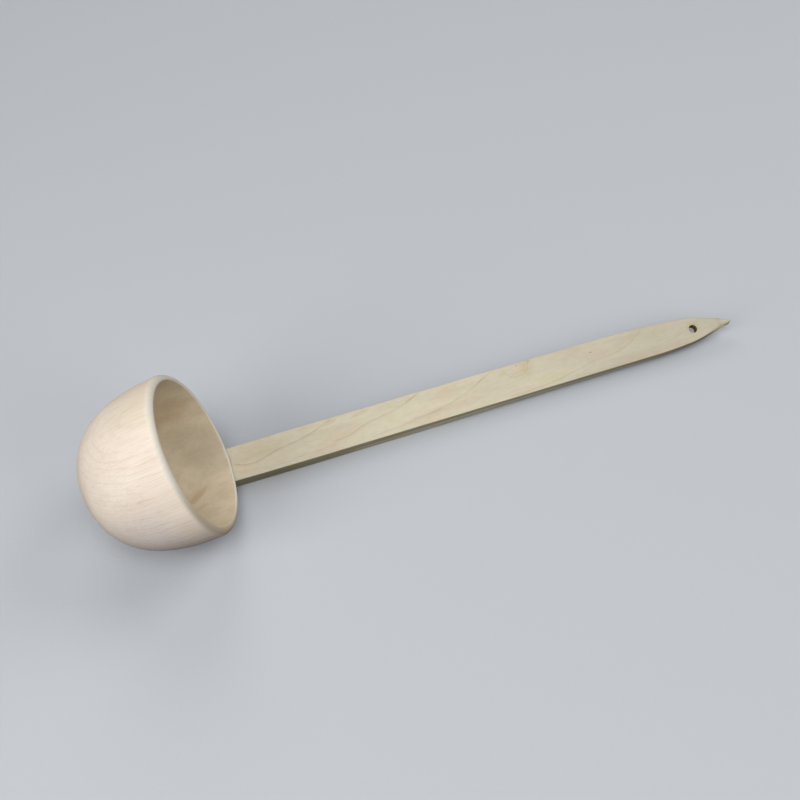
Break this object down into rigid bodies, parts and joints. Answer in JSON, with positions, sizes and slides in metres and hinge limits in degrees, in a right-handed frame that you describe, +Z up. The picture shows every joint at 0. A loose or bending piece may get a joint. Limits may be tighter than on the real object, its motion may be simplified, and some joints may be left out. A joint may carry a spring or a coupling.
{
  "type": "wooden ladle",
  "caption": "Plain wooden dipping ladle: a deep turned cup with a long flat tapering handle, pointed at the end and drilled for hanging.",
  "frame": {"origin": "middle of the footprint's bounding box, on the table the ladle lies on", "axes": "+X along the level handle from the cup to the point, +Z up from the table; the ladle is rolled 22 degrees about +X, mouth facing +X, up and slightly -Y"},
  "size_m": [0.487, 0.1106, 0.112],
  "materials": {
    "bowl_wood": "fine sanded, bare",
    "handle_wood": "sanded, bare",
    "dowel_wood": "bare, glued in"
  },
  "bodies": {
    "root": {"bowl": "bowl_wood", "handle": "handle_wood", "dowel_left": "dowel_wood", "dowel_right": "dowel_wood"}
  },
  "joints": []
}
